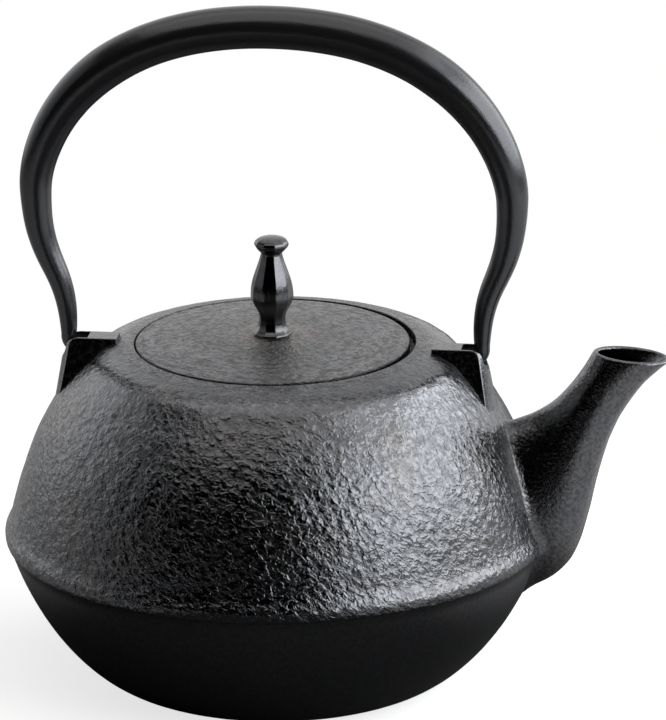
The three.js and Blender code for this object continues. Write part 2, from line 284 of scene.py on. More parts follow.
def newGroup(name, inputs, outputs):
    # Inputs are numbers and colours with their values, and a place has none
    group = bpy.data.node_groups.new(name, "ShaderNodeTree")
    for label, value in inputs.items():
        kind = "Vector" if value is None else "Float" if isinstance(value, float) else "Color"
        socket = group.interface.new_socket(label, in_out="INPUT", socket_type="NodeSocket" + kind)
        if value is not None:
            socket.default_value = value
    for label, kind in outputs.items():
        group.interface.new_socket(label, in_out="OUTPUT", socket_type="NodeSocket" + kind)
    return group, group.nodes.new("NodeGroupInput").outputs, group.nodes.new("NodeGroupOutput").inputs


def newMaterial(name):
    material = bpy.data.materials.new(name)
    material.use_nodes = True
    tree = material.node_tree
    tree.nodes.clear()
    output = tree.nodes.new("ShaderNodeOutputMaterial")
    shader = tree.nodes.new("ShaderNodeBsdfPrincipled")
    tree.links.new(shader.outputs["BSDF"], output.inputs["Surface"])
    return material, tree, shader


# Node groups that the irons share

mouldSkin = {
    "soft": {"detail": 2.5, "roughness": 0.55, "distortion": 0.9}, "softShare": 1.1,
    "cellScale": 0.62, "cellSmoothness": 0.45, "cellMiddle": 0.75, "cellShare": 0.65,
    "grain": {"detail": 3.0, "roughness": 0.6},
    "pits": {"detail": 1.0, "roughness": 0.4}, "pitScale": 0.7, "pitEdge": (0.66, 0.76),
    "middle": 0.72, "hollowEdge": (0.56, 0.76),
}


def makeSandCast():
    # The skin that iron takes from its sand mould: lumps, fine grain and pits, heights in mm
    group, given, out = newGroup("sandCast", {
        "place": None, "lumpSize": 1.3, "lumpHeight": 0.1, "grainSize": 0.4, "grainHeight": 0.02,
        "pitDepth": 0.05,
    }, {"height": "Float", "hollow": "Float"})
    place = given["place"]
    lumpScale = calc(group, "DIVIDE", 1.0, given["lumpSize"])
    grainScale = calc(group, "DIVIDE", 1.0, given["grainSize"])
    soft = noiseTexture(group, place, lumpScale, **mouldSkin["soft"])
    cellScale = calc(group, "MULTIPLY", lumpScale, mouldSkin["cellScale"])
    cells = addNode(group, "ShaderNodeTexVoronoi", {
        "Vector": place, "Scale": cellScale, "Smoothness": mouldSkin["cellSmoothness"]}, feature="SMOOTH_F1")
    cell = calc(group, "SUBTRACT", mouldSkin["cellMiddle"], cells.outputs["Distance"])
    lumps = calc(group, "ADD", calc(group, "MULTIPLY", soft, mouldSkin["softShare"]),
                 calc(group, "MULTIPLY", cell, mouldSkin["cellShare"]))
    grain = noiseTexture(group, place, grainScale, **mouldSkin["grain"])
    pitScale = calc(group, "MULTIPLY", lumpScale, mouldSkin["pitScale"])
    pits = span(group, noiseTexture(group, place, pitScale, **mouldSkin["pits"]), *mouldSkin["pitEdge"])
    height = calc(group, "MULTIPLY", calc(group, "SUBTRACT", lumps, mouldSkin["middle"]), given["lumpHeight"])
    height = calc(group, "MULTIPLY_ADD", calc(group, "SUBTRACT", grain, 0.5), given["grainHeight"], height)
    pitted = calc(group, "MULTIPLY", pits, given["pitDepth"])
    put(group, out["height"], calc(group, "SUBTRACT", height, pitted))
    low = span(group, lumps, *mouldSkin["hollowEdge"], 1.0, 0.0)
    put(group, out["hollow"], calc(group, "MAXIMUM", low, pits))
    return group


ringDrift = {"scale": 0.09, "detail": 2.0, "roughness": 0.5}


def makeRingPlace():
    # Radius, and a place that runs round the axis, for marks that follow a turned face
    group, given, out = newGroup("ringPlace", {"place": None, "wobble": 1.0, "turns": 1.6},
                                 {"radius": "Float", "round": "Vector"})
    parts = separate(group, given["place"])
    flat = combine(group, parts[0], parts[1])
    drift = calc(group, "SUBTRACT", noiseTexture(group, given["place"], **ringDrift), 0.5)
    radius = calc(group, "ADD", vectorCalc(group, "LENGTH", flat, "Value"),
                  calc(group, "MULTIPLY", drift, given["wobble"]))
    turn = separate(group, vectorCalc(group, "NORMALIZE", flat))
    put(group, out["radius"], radius)
    put(group, out["round"], combine(group, radius, calc(group, "MULTIPLY", turn[0], given["turns"]),
                                     calc(group, "MULTIPLY", turn[1], given["turns"])))
    return group


bakedCoat = {
    "patches": {"detail": 4.0, "roughness": 0.6}, "patchEdge": (0.45, 0.7),
    "speckles": {"scale": 0.8, "detail": 3.0, "roughness": 0.6}, "speckleEdge": (0.35, 0.65),
    "speckleShade": (0.05, 0.05, 0.053, 1),
    "dustAndShade": 0.28, "dustAndShadeColour": (0.03, 0.03, 0.032, 1), "dustRough": 0.12,
}


def makeBlackCoat():
    # Colour and roughness of baked black iron: dark, with faint brown bloom, and dust and painted shade in
    # the hollows
    group, given, out = newGroup("blackCoat", {
        "place": None, "hollow": 0.0, "shade": (0.035, 0.036, 0.038, 1), "bloom": (0.05, 0.043, 0.038, 1),
        "bloomAmount": 0.3, "rough": 0.42, "roughSpread": 0.1, "patchSize": 22.0, "speckle": 0.25,
    }, {"colour": "Color", "rough": "Float"})
    patchScale = calc(group, "DIVIDE", 1.0, given["patchSize"])
    patches = noiseTexture(group, given["place"], patchScale, **bakedCoat["patches"])
    bloomed = calc(group, "MULTIPLY", span(group, patches, *bakedCoat["patchEdge"]), given["bloomAmount"])
    colour = blendColour(group, bloomed, given["shade"], given["bloom"])
    speckles = noiseTexture(group, given["place"], **bakedCoat["speckles"])
    speckled = calc(group, "MULTIPLY", span(group, speckles, *bakedCoat["speckleEdge"]), given["speckle"])
    colour = blendColour(group, speckled, colour, bakedCoat["speckleShade"])
    # Dust and painted shade: the hollows are darkened in colour
    dustAndShadeInHollows = calc(group, "MULTIPLY", given["hollow"], bakedCoat["dustAndShade"])
    put(group, out["colour"], blendColour(group, dustAndShadeInHollows, colour, bakedCoat["dustAndShadeColour"]))
    swing = calc(group, "MULTIPLY", calc(group, "SUBTRACT", patches, 0.5), given["roughSpread"])
    rough = calc(group, "ADD", given["rough"], swing)
    put(group, out["rough"], calc(group, "MULTIPLY_ADD", given["hollow"], bakedCoat["dustRough"], rough))
    return group


sandCast = makeSandCast()
ringPlace = makeRingPlace()
blackCoat = makeBlackCoat()
print("shared node groups built")


def finishIron(tree, shader, finish, colour, rough, height):
    # What every iron ends with: its colour, gloss and lacquer, and its heights in mm as bump
    put(tree, shader.inputs["Base Color"], colour)
    put(tree, shader.inputs["Roughness"], rough)
    shader.inputs["Metallic"].default_value = finish["metal"]
    shader.inputs["Coat Weight"].default_value = finish.get("lacquer", 0.0)
    shader.inputs["Coat Roughness"].default_value = finish.get("lacquerRough", 0.3)
    bump = addNode(tree, "ShaderNodeBump", {"Distance": mm, "Height": height})
    tree.links.new(bump.outputs["Normal"], shader.inputs["Normal"])


def makeIron(name, finish):
    # Plain cast iron, its mould skin under the black coat
    material, tree, shader = newMaterial(name)
    place = objectPlace(tree)
    cast = useGroup(tree, sandCast, place=place, **finish["skin"])
    # Where set, the hollows take dust and painted shade in the coat
    hollow = cast["hollow"] if finish["dustAndShadeInHollows"] else 0.0
    coat = useGroup(tree, blackCoat, place=place, hollow=hollow, **finish["coat"])
    finishIron(tree, shader, finish, coat["colour"], coat["rough"], cast["height"])
    return material


# Body

body = {
    "wall": 3.2,
    "baseRadius": 50.8, "baseRound": 1.2, "bowlHeight": 47.3, "bowlRadius": 89.4,
    "footSlope": 7, "footReach": 10, "rimSlope": 71.7, "rimReach": 32.4,
    "skinStep": 0.4, "ridgeRadius": 90.65, "beadRise": 3.4,
    "wallFoot": (88.2, 57.0), "wallFootSlope": 76.4, "wallFootReach": 32.6,
    "wallTopSlope": 49, "wallTopReach": 16.3,
    "shoulder": (61.7, 109.3), "ringShoulderReach": 4.2, "ringRimSlope": 8, "ringRimReach": 6,
    "height": 115.0, "seatRadius": 46.65, "seatDepth": 3.5, "seatThickness": 3.4, "openingRadius": 41.05,
    "edgeRound": 0.5, "ledgeRound": 0.6, "underGap": 0.5, "insideFlat": 20,
    "portWidth": 17, "portHeight": 28, "portCentre": 61, "portFrom": 60, "portTo": 100,
    "sides": 480,
    "swell": 0.16, "swellSize": 7.0, "ripple": 0.09, "rippleSize": 3.2, "rippleShift": 31,
    # Heights, and how uneven the casting is there
    "uneven": [(0, 0.15), (40, 0.2), (46, 0.08), (52, 0.25), (60, 1), (96, 1), (110, 0.7), (114.2, 0.2)],
    "flatFoot": 0.5,
    "finish": {
        "metal": 1.0, "lacquer": 0.0, "lacquerRough": 0.25,
        "coat": {"shade": (0.15, 0.154, 0.164, 1), "bloom": (0.17, 0.154, 0.142, 1), "speckle": 0.35},
        "skinRough": 0.14, "bowlRough": 0.3, "ringRough": 0.24,
        "skin": {"lumpSize": 1.65, "lumpHeight": 0.46, "grainSize": 0.5, "grainHeight": 0.03,
                 "pitDepth": 0.03},
        "fine": {"lumpSize": 0.9, "lumpHeight": 0.22, "grainSize": 0.3, "grainHeight": 0.03,
                 "pitDepth": 0.03},
        "skinEdge": (47.4, 48.4), "calmEdge": (98, 113), "calm": 0.5,
        "strokeTurn": 33, "strokeLength": 1.35,
        "ringEdge": (49.0, 57.0), "ringRise": (104, 108), "ringWobble": 2.0,
        "wrinkle": 0.8, "wrinkleWobble": 3.0, "wrinkleTurns": 24.0,
        "wrinkles": {"scale": 0.45, "detail": 3.0, "roughness": 0.6, "distortion": 0.6},
        "creaseShadeEdge": (-0.1, 0.06), "creaseShade": 0.75, "paintedCreaseShade": (0.06, 0.06, 0.063, 1),
        "streak": 0.06, "streakStretch": 0.12, "streaks": {"scale": 0.9, "detail": 3.0, "roughness": 0.6},
        "bowlGrain": 0.25,
        "seatEdge": (46.4, 47.1), "paintedGapShade": (0.02, 0.02, 0.021, 1),
    },
    "insideFinish": {
        "metal": 0.3, "dustAndShadeInHollows": True,
        "skin": {"lumpSize": 1.8, "lumpHeight": 0.12, "grainSize": 0.5, "grainHeight": 0.03,
                 "pitDepth": 0.05},
        "coat": {"shade": (0.045, 0.043, 0.042, 1), "bloom": (0.09, 0.055, 0.038, 1), "bloomAmount": 0.6,
                 "rough": 0.62, "patchSize": 14.0},
    },
}


def bowlLine(steps):
    return slopedCurve((body["baseRadius"], 0), body["footSlope"], body["footReach"],
                       (body["bowlRadius"], body["bowlHeight"]), body["rimSlope"], body["rimReach"], steps)


def beadLine(steps):
    start = np.array([body["bowlRadius"] + body["skinStep"], body["bowlHeight"] + body["skinStep"]])
    crest = np.array([body["ridgeRadius"], body["bowlHeight"] + body["beadRise"]])
    lower = bentCurve(start, (crest[0], start[1] + body["skinStep"]), crest, steps)
    flare = slopedCurve(crest, 90, body["beadRise"] / 2, body["wallFoot"],
                        180 - body["wallFootSlope"], body["beadRise"], steps)
    return joinLines(lower, flare)


def wallLine(steps, ringSteps):
    wall = slopedCurve(body["wallFoot"], 180 - body["wallFootSlope"], body["wallFootReach"],
                       body["shoulder"], 180 - body["wallTopSlope"], body["wallTopReach"], steps)
    ring = slopedCurve(body["shoulder"], 180 - body["wallTopSlope"], body["ringShoulderReach"],
                       (body["seatRadius"], body["height"]), 180 - body["ringRimSlope"],
                       body["ringRimReach"], ringSteps)
    return joinLines(wall, ring)


outerLine = joinLines(bowlLine(60), beadLine(10), wallLine(90, 24))


def surfaceRadius(height):
    return np.interp(height, outerLine[:, 1], outerLine[:, 0])


def surfaceDepth(x, y, z):
    # How far a point lies outside the body's outer surface, in mm
    slope = surfaceRadius(z + 0.5) - surfaceRadius(z - 0.5)
    return (np.hypot(x, y) - surfaceRadius(z)) / np.sqrt(1 + slope ** 2)


def bodyProfile():
    # The outside from the foot to the seat, and the inside back down, with the place where it begins
    bowl, bead, wall = bowlLine(30), beadLine(6), wallLine(46, 16)
    seat, top, opening = body["seatRadius"], body["height"], body["openingRadius"]
    ledge = top - body["seatDepth"]
    under = ledge - body["seatThickness"]
    rim = roundedPath([wall[-2], (seat, top), (seat, ledge), (opening, ledge), (opening, under)],
                      [0, body["edgeRound"], body["ledgeRound"], body["edgeRound"], 0])
    inside = np.vstack([offsetLine(bowlLine(20), -body["wall"]), offsetLine(wallLine(22, 4), -body["wall"])])
    inside = inside[inside[:, 1] < under - body["underGap"]][::-1]
    bottom = inside[-1, 1]
    foot = (body["baseRadius"] - body["baseRound"], 0)
    profile = joinLines(straight((0, 0), foot, 5), bentCurve(foot, (body["baseRadius"], 0), bowl[1], 3),
                        bowl[1:], bead, wall[:-1], rim[1:],
                        inside, np.array([[body["insideFlat"], bottom], [0, bottom]]))
    keep = np.ones(len(profile), bool)
    keep[1:] = np.linalg.norm(np.diff(profile, axis=0), axis=1) > 1e-4
    profile = profile[keep]
    return profile, np.where(np.all(np.isclose(profile, rim[-1]), axis=1))[0][0]


def makeBody():
    profile, insideFrom = bodyProfile()
    normals = np.gradient(profile, axis=0)
    normals /= np.maximum(np.linalg.norm(normals, axis=1)[:, None], 1e-9)
    normals = np.column_stack([normals[:, 1], -normals[:, 0]])[1:-1]

    def shape(radius, height, angles):
        # The wall's uneven cast surface, which fades towards the ridge and the ring
        x, y = radius * np.sin(angles), -radius * np.cos(angles)
        amount = np.interp(height, *zip(*body["uneven"]))
        amount[insideFrom - 1:] = 0
        swell = castNoise(x, y, height, body["swellSize"]) * body["swell"]
        ripple = castNoise(x + body["rippleShift"], y, height, body["rippleSize"]) * body["ripple"]
        push = (swell + ripple) * amount
        push[height <= body["flatFoot"]] = 0
        return radius + push * normals[:, 0:1], height + push * normals[:, 1:2]

    def zone(ring):
        return 1 if ring + 1 >= insideFrom else 0

    piece = turned("kettleBody", profile, body["sides"], [bodyIron, insideIron], shape, zone=zone)
    port = circleLine((0, body["portCentre"]), (body["portWidth"] / 2, body["portHeight"] / 2), 64)
    cutWith(piece, prism("portCutter", port, 0, body["portFrom"], body["portTo"], [insideIron]))
    finishPiece(piece, "kettle", "kettle_body")
    return piece


def makeBodyIron():
    finish = body["finish"]
    material, tree, shader = newMaterial("bodyIron")
    place = objectPlace(tree)
    rise = separate(tree, place)[2]

    # The rough skin of the wall, in strokes that lean, and calmer towards the top
    skin = span(tree, rise, *finish["skinEdge"])
    strokes = addNode(tree, "ShaderNodeMapping", {
        "Vector": place, "Rotation": (0, math.radians(finish["strokeTurn"]), 0),
        "Scale": (finish["strokeLength"], 1, 1)}, vector_type="TEXTURE")
    cast = useGroup(tree, sandCast, place=strokes.outputs["Vector"], **finish["skin"])
    wallAmount = calc(tree, "MULTIPLY", skin, span(tree, rise, *finish["calmEdge"], 1.0, finish["calm"]))
    wallHeight = calc(tree, "MULTIPLY", cast["height"], wallAmount)

    # The ring's long wrinkles, which run round it
    fineCast = useGroup(tree, sandCast, place=place, **finish["fine"])
    ring = useGroup(tree, ringPlace, place=place, wobble=finish["ringWobble"])
    atTop = span(tree, rise, *finish["ringRise"])
    onRing = calc(tree, "MULTIPLY", span(tree, ring["radius"], *finish["ringEdge"], 1.0, 0.0), atTop)
    longRing = useGroup(tree, ringPlace, place=place, wobble=finish["wrinkleWobble"],
                        turns=finish["wrinkleTurns"])
    wrinkles = calc(tree, "SUBTRACT", noiseTexture(tree, longRing["round"], **finish["wrinkles"]), 0.5)
    ringHeight = calc(tree, "MULTIPLY_ADD", wrinkles, finish["wrinkle"], fineCast["height"])

    # The bowl's faint upright streaks
    upright = addNode(tree, "ShaderNodeMapping", {"Vector": place, "Scale": (1, 1, finish["streakStretch"])})
    streaks = calc(tree, "SUBTRACT", noiseTexture(tree, upright.outputs["Vector"], **finish["streaks"]), 0.5)
    bowlHeight = calc(tree, "MULTIPLY_ADD", streaks, finish["streak"],
                      calc(tree, "MULTIPLY", fineCast["height"], finish["bowlGrain"]))

    height = blendValue(tree, onRing, blendValue(tree, skin, bowlHeight, wallHeight), ringHeight)
    # The hollows of the wall's skin and of the ring, which the coat darkens as dust and painted shade
    hollow = calc(tree, "MULTIPLY", cast["hollow"], calc(tree, "SUBTRACT", wallAmount, onRing, clamp=True))
    hollow = calc(tree, "MULTIPLY_ADD", fineCast["hollow"], onRing, hollow)
    rough = blendValue(tree, skin, finish["bowlRough"], finish["skinRough"])
    rough = blendValue(tree, onRing, rough, finish["ringRough"])
    coat = useGroup(tree, blackCoat, place=place, hollow=hollow, rough=rough, **finish["coat"])
    # Painted shade: the creases of the ring's wrinkles are darkened in colour
    creaseShade = span(tree, wrinkles, *finish["creaseShadeEdge"], finish["creaseShade"], 0.0)
    creaseShaded = blendColour(tree, calc(tree, "MULTIPLY", creaseShade, onRing), coat["colour"], finish["paintedCreaseShade"])
    # Painted shade: the seat's wall and ledge, in the gap under the lid, are darkened to near black
    trueRing = useGroup(tree, ringPlace, place=place, wobble=0.0)
    gapShade = calc(tree, "MULTIPLY", span(tree, trueRing["radius"], *finish["seatEdge"], 1.0, 0.0), atTop)
    colour = blendColour(tree, gapShade, creaseShaded, finish["paintedGapShade"])
    finishIron(tree, shader, finish, colour, coat["rough"], height)
    return material


bodyIron = makeBodyIron()
insideIron = makeIron("insideIron", body["insideFinish"])
kettleBody = makeBody()
print("body made", len(kettleBody.data.polygons))


# Spout

spout = {
    "upperRoot": 89.25, "upperRootSlope": 22.8, "upperRootReach": 11.3,
    "upperLipSlope": 61.1, "upperLipReach": 23.3,
    "lowerRoot": 32.0, "lowerRootSlope": 22, "lowerRootReach": 15.9,
    "belly": (104.85, 61.0), "bellySlope": 76.5, "bellyLowerReach": 18, "bellyUpperReach": 15.7,
    "lowerLipSlope": 37.4, "lowerLipReach": 25.1,
    "mouth": (118.65, 113.95), "mouthLength": 25.6, "mouthWidth": 17.3, "mouthTilt": 5,
    "rootWidth": 29, "rootTaper": 0.25, "widthFalloff": 1.3, "wall": 2.6,
    "lipWall": 1.8, "lipRise": 0.75, "lipDrop": 0.15, "lipSteps": 9,
    "rootShare": -0.16, "rootRun": 60.0, "lipShare": 0.985,
    "outerBend": 0.3, "outerSteps": (80, 72), "innerBend": 0.2, "innerSteps": (60, 30), "sides": 112,
    "sunk": 1.3, "flare": 3.4, "flareGain": 0.9, "flareMost": 1.3,
    "swell": 0.13, "swellSize": 6.0,
    "finish": {
        "metal": 1.0, "dustAndShadeInHollows": False,
        "skin": {"lumpSize": 0.9, "lumpHeight": 0.13, "grainSize": 0.35, "grainHeight": 0.03,
                 "pitDepth": 0.0},
        "coat": {"shade": (0.15, 0.154, 0.164, 1), "bloom": (0.165, 0.15, 0.138, 1), "rough": 0.15,
                 "speckle": 0.6},
    },
}


def evenly(points, shares):
    # Points at shares of a line's length
    lengths = np.concatenate([[0], np.cumsum(np.linalg.norm(np.diff(points, axis=0), axis=1))])
    lengths /= lengths[-1]
    return np.column_stack([np.interp(shares, lengths, column) for column in points.T])


def spoutRings(shares, inset):
    # Rings of the spout at shares of its way from the root to the lip, drawn in by inset(share)
    mouth = np.array(spout["mouth"])
    half = direction(-spout["mouthTilt"]) * spout["mouthLength"] / 2
    upperRoot = (surfaceRadius(spout["upperRoot"]), spout["upperRoot"])
    lowerRoot = (surfaceRadius(spout["lowerRoot"]), spout["lowerRoot"])
    upper = slopedCurve(upperRoot, spout["upperRootSlope"], spout["upperRootReach"],
                        mouth - half, spout["upperLipSlope"], spout["upperLipReach"], 200)
    lower = joinLines(
        slopedCurve(lowerRoot, spout["lowerRootSlope"], spout["lowerRootReach"],
                    spout["belly"], spout["bellySlope"], spout["bellyLowerReach"], 100),
        slopedCurve(spout["belly"], spout["bellySlope"], spout["bellyUpperReach"],
                    mouth + half, spout["lowerLipSlope"], spout["lowerLipReach"], 100))
    clipped = np.clip(shares, 0, 1)
    before = np.minimum(shares, 0)[:, None] * np.array([[spout["rootRun"], 0.0]])
    high, low = evenly(upper, clipped) + before, evenly(lower, clipped) + before
    depth = np.linalg.norm(high - low, axis=1)
    down = (low - high) / depth[:, None]
    middle = (high + low) / 2
    widthShare = (1 - clipped) ** spout["widthFalloff"]
    halfWidth = (spout["mouthWidth"] + (spout["rootWidth"] - spout["mouthWidth"]) * widthShare) / 2
    draw = np.array([inset(share) for share in shares])
    angles = np.arange(spout["sides"]) * 2 * math.pi / spout["sides"]
    cosine, sine = np.cos(angles), np.sin(angles)
    spread = 1 + spout["rootTaper"] * (1 - clipped)[:, None] * cosine
    x = middle[:, 0:1] + down[:, 0:1] * (depth / 2 - draw)[:, None] * cosine
    z = middle[:, 1:2] + down[:, 1:2] * (depth / 2 - draw)[:, None] * cosine
    y = (halfWidth - draw)[:, None] * spread * sine
    return np.stack([x, y, z], axis=-1), middle


def sharesThrough(start, bend, end, steps):
    # Shares from start to end, closer together on one side of the bend
    return np.concatenate([np.linspace(start, bend, steps[0]), np.linspace(bend, end, steps[1])[1:]])


def spoutWall(share):
    return spout["wall"] + (spout["lipWall"] - spout["wall"]) * min(max(share, 0), 1)


def spoutLip():
    # The outer and inner rings meet in a round edge
    tilt = math.radians(spout["mouthTilt"])
    normal = np.array([math.sin(tilt), 0, math.cos(tilt)])
    lipOuter, _ = spoutRings(np.array([1.0]), lambda share: 0.0)
    lipInner, _ = spoutRings(np.array([1.0]), lambda share: spout["lipWall"])
    lip = []
    for turn in np.linspace(0, math.pi, spout["lipSteps"]):
        across = (1 - math.cos(turn)) / 2
        rise = math.sin(turn) * spout["lipRise"] - spout["lipDrop"]
        lip.append(lipOuter[0] * (1 - across) + lipInner[0] * across + normal * rise)
    return np.array(lip)


def makeSpout():
    root, end = spout["rootShare"], spout["lipShare"]
    outerShares = sharesThrough(root, spout["outerBend"], end, spout["outerSteps"])
    innerShares = sharesThrough(end, spout["innerBend"], root, spout["innerSteps"])
    outer, middle = spoutRings(outerShares, lambda share: 0.0)
    inner, _ = spoutRings(innerShares, spoutWall)
    centres = np.stack([middle[:, 0], np.zeros(len(middle)), middle[:, 1]], axis=-1)[:, None]

    # The root flares out to meet the body, and the cast surface swells a little
    depth = surfaceDepth(outer[..., 0], outer[..., 1], outer[..., 2])
    away = outer - centres
    away /= np.linalg.norm(away, axis=-1)[..., None]
    near = np.clip(1 - np.maximum(depth, -1) / spout["flare"], 0, spout["flareMost"])
    outer += away * (near ** 2 * spout["flareGain"])[..., None]
    swell = castNoise(outer[..., 0], outer[..., 1], outer[..., 2], spout["swellSize"]) * spout["swell"]
    outer += away * swell[..., None]

    # What would stand inside the body is drawn back into its wall, in three goes as its depth changes
    for rings in (outer, inner):
        for _ in range(3):
            depth = surfaceDepth(rings[..., 0], rings[..., 1], rings[..., 2])
            rings[..., 0] -= np.minimum(depth + spout["sunk"], 0)
    rings = np.concatenate([outer, spoutLip(), inner])
    faces = ringFaces(len(rings), spout["sides"], closed=True)
    piece = newObject("spout", rings.reshape(-1, 3) * mm, faces, [spoutIron])
    outwards(piece)
    finishPiece(piece, "kettle", "spout")
    return piece


spoutIron = makeIron("spoutIron", spout["finish"])
kettleSpout = makeSpout()
print("spout made", len(kettleSpout.data.polygons))


# Ears

ears = {
    "top": 115.2, "topWidth": 7.8, "sideSlope": 14.2, "innerX": 52.6, "cornerRound": 2.4, "cornerSteps": 9,
    "endX": 68.0, "endSlope": 10, "endBulge": 2.2, "hinge": 111.0, "depth": 26,
    "pocketX": 62.4, "pocketWidth": 6.4, "hookTip": 59.0, "boreRadius": 2.4, "tipGap": 0.4, "boreTo": 80,
    "sunk": 1.4, "rimInset": 2, "rimSunk": 0.4, "voxel": 0.2, "softening": 3,
    "finish": {
        "metal": 1.0, "lacquer": 0.1, "lacquerRough": 0.25, "dustAndShadeInHollows": True,
        "skin": {"lumpSize": 0.9, "lumpHeight": 0.05, "grainSize": 0.35, "grainHeight": 0.02,
                 "pitDepth": 0.02},
        "coat": {**body["finish"]["coat"], "rough": 0.17, "patchSize": 9.0, "speckle": 0.1},
    },
}


def earOutline(depth):
    # The ear's plan at a depth below its top, into which the bulged outer end rounds over
    rounding = max(ears["cornerRound"] - depth, 0)
    drawnIn = ears["cornerRound"] - math.sqrt(ears["cornerRound"] ** 2 - rounding ** 2)
    half = ears["topWidth"] / 2 + depth * math.tan(math.radians(ears["sideSlope"]))
    outer = ears["endX"] + depth * math.tan(math.radians(ears["endSlope"])) - drawnIn
    end = bentCurve((outer, -half), (outer + 2 * ears["endBulge"], 0), (outer, half), 16)
    plan = np.vstack([[(ears["innerX"], -half)], end, [(ears["innerX"], half)]])
    return np.column_stack([plan, np.full(len(plan), ears["top"] - depth)])


def makeEar(name, side, node):
    hinge, deep = ears["hinge"], ears["depth"]
    turns = np.linspace(math.pi / 2, 0, ears["cornerSteps"])
    corner = [ears["cornerRound"] * (1 - math.cos(turn)) for turn in turns]
    rings = [earOutline(depth) for depth in [deep, *corner]]
    count, last = len(rings[0]), (len(rings) - 1) * len(rings[0])
    faces = [tuple(range(count))[::-1], tuple(range(last, last + count))] + ringFaces(len(rings), count)
    piece = newObject(name, np.vstack(rings) * mm, faces, [earIron])
    outwards(piece)

    # Cut by the open pocket that the leg stands in, the body's own shape and the bore for the hook
    half = ears["pocketWidth"] / 2
    turns = np.linspace(0, math.pi, 25)
    pocket = [(-half, hinge + deep),
              *[(-math.cos(turn) * half, hinge - math.sin(turn) * half) for turn in turns],
              (half, hinge + deep)]
    cutWith(piece, prism("pocketCutter", pocket, 0, ears["pocketX"], ears["pocketX"] + deep, [earIron]))
    line = offsetLine(outerLine, -ears["sunk"])
    rim = [(body["seatRadius"] + ears["rimInset"], body["height"] - ears["sunk"] - ears["rimSunk"])]
    profile = np.vstack([[(0, line[0, 1])], line, rim, [(0, rim[0][1])]])
    cutWith(piece, turned("earCutter", profile, 200, [earIron]))
    bore = circleLine((0, hinge), (ears["boreRadius"], ears["boreRadius"]), 32)
    cutWith(piece, prism("boreCutter", bore, 0, ears["hookTip"] - ears["tipGap"], ears["boreTo"], [earIron]))

    # A fine remesh rounds every edge as casting does
    remesh = piece.modifiers.new("remesh", "REMESH")
    remesh.mode = "VOXEL"
    remesh.voxel_size = ears["voxel"] * mm
    remesh.use_smooth_shade = True
    soften = piece.modifiers.new("soften", "SMOOTH")
    soften.iterations = ears["softening"]
    soften.factor = 0.5
    freeze(piece)
    if side < 0:
        piece.data.transform(Matrix.Rotation(math.pi, 4, "Z"))
    finishPiece(piece, "kettle", node)
    return piece


earIron = makeIron("earIron", ears["finish"])
rightEar = makeEar("rightEar", 1, "right_ear")
leftEar = makeEar("leftEar", -1, "left_ear")
print("ears made", len(rightEar.data.polygons))


# Handle: its centre line and bar sizes, swept and worked by a node tree

handle = {
    "hinge": ears["hinge"], "hookTip": ears["hookTip"], "legX": 69.1,
    "hookRadius": 2.0, "hookBend": 3.2, "legRadius": 2.6, "endRound": 1.2, "endTip": 0.08,
    "legStraight": 5, "legFootReach": 24.5, "legTopReach": 27.6, "bulge": 10.2, "bulgeRise": 54.9,
    "archSideReach": 15, "archTopReach": 64.6, "rise": 112.1,
    "gripRadius": 7.1, "gripRise": 96.8, "taperPower": 0.84,
    "barSides": 56, "hammer": 0.11, "hammerSize": 9.0, "seed": 4.0,
    "finish": {
        "metal": 0.9, "lacquer": 0.1, "lacquerRough": 0.2,
        "skin": {"lumpSize": 0.8, "lumpHeight": 0.02, "grainSize": 0.3, "grainHeight": 0.012,
                 "pitDepth": 0.015},
        "coat": {"shade": (0.07, 0.072, 0.077, 1), "bloom": (0.08, 0.075, 0.072, 1), "rough": 0.22,
                 "patchSize": 16.0, "roughSpread": 0.08},
        "archMiddle": 146, "brushTurns": 6.0, "brushHeight": 0.05,
        "brush": {"scale": 1.6, "detail": 3.0, "roughness": 0.6},
    },
}


def handleLine():
    leg, bend, foot = handle["legX"], handle["hookBend"], handle["legStraight"]
    side = (leg + handle["bulge"], handle["bulgeRise"])
    half = joinLines(
        straight((handle["hookTip"], 0), (leg - bend, 0), 12),
        bentCurve((leg - bend, 0), (leg, 0), (leg, bend), 12),
        straight((leg, bend), (leg, foot), 6),
        slopedCurve((leg, foot), 90, handle["legFootReach"], side, 90, handle["legTopReach"], 60),
        slopedCurve(side, 90, handle["archSideReach"], (0, handle["rise"]), 180, handle["archTopReach"], 110))
    share = np.clip((half[:, 1] - foot) / (handle["gripRise"] - foot), 0, 1)
    thin, thick = handle["legRadius"], handle["gripRadius"]
    radius = thin + (thick - thin) * share ** handle["taperPower"]
    low = half[:, 1] < bend
    radius[low] = np.interp(half[low, 1], [0, bend], [handle["hookRadius"], thin])
    points = np.vstack([half, (half * (-1, 1))[-2::-1]])
    radius = np.concatenate([radius, radius[-2::-1]])
    fromEnd = np.linalg.norm(points - points[0], axis=1)
    near = np.clip(np.minimum(fromEnd, fromEnd[::-1]) / handle["endRound"], 0, 1)
    radius *= handle["endTip"] + (1 - handle["endTip"]) * np.sqrt(near * (2 - near))
    return np.column_stack([points[:, 0], np.zeros(len(points)), points[:, 1] + handle["hinge"]]), radius


